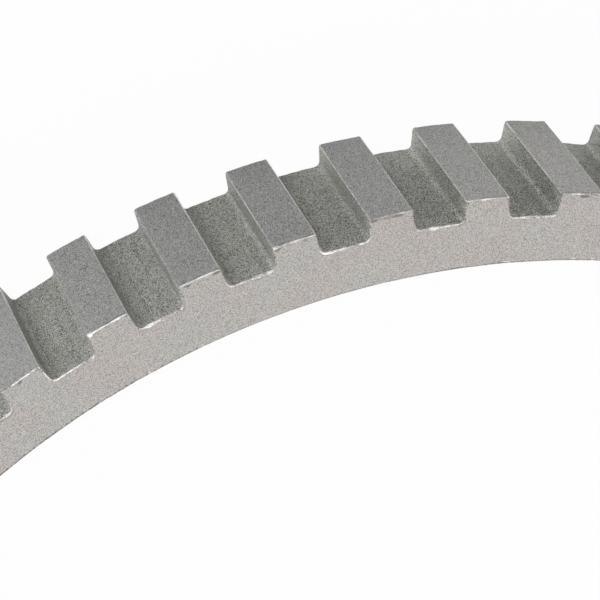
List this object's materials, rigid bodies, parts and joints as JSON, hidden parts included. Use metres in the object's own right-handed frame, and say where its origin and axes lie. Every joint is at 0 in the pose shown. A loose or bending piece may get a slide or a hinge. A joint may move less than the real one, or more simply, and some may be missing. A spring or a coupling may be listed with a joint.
{
  "type": "abs tone ring",
  "caption": "Toothed sintered-metal ring that is pressed onto a hub or axle shaft and passes a wheel-speed sensor; straight square teeth on a thin flat rim with a plain bore.",
  "frame": {"origin": "on the ring's axis, in the plane of its back face, which it lies on", "axes": "+Z along the bore's axis, from the back face to the front face; +X through the middle of a gap between two teeth"},
  "size_m": [0.094, 0.094, 0.0094],
  "materials": {
    "sintered_iron": "matte, fine-grained, as pressed and sintered"
  },
  "bodies": {
    "root": {"tone_ring": "sintered_iron"}
  },
  "joints": []
}
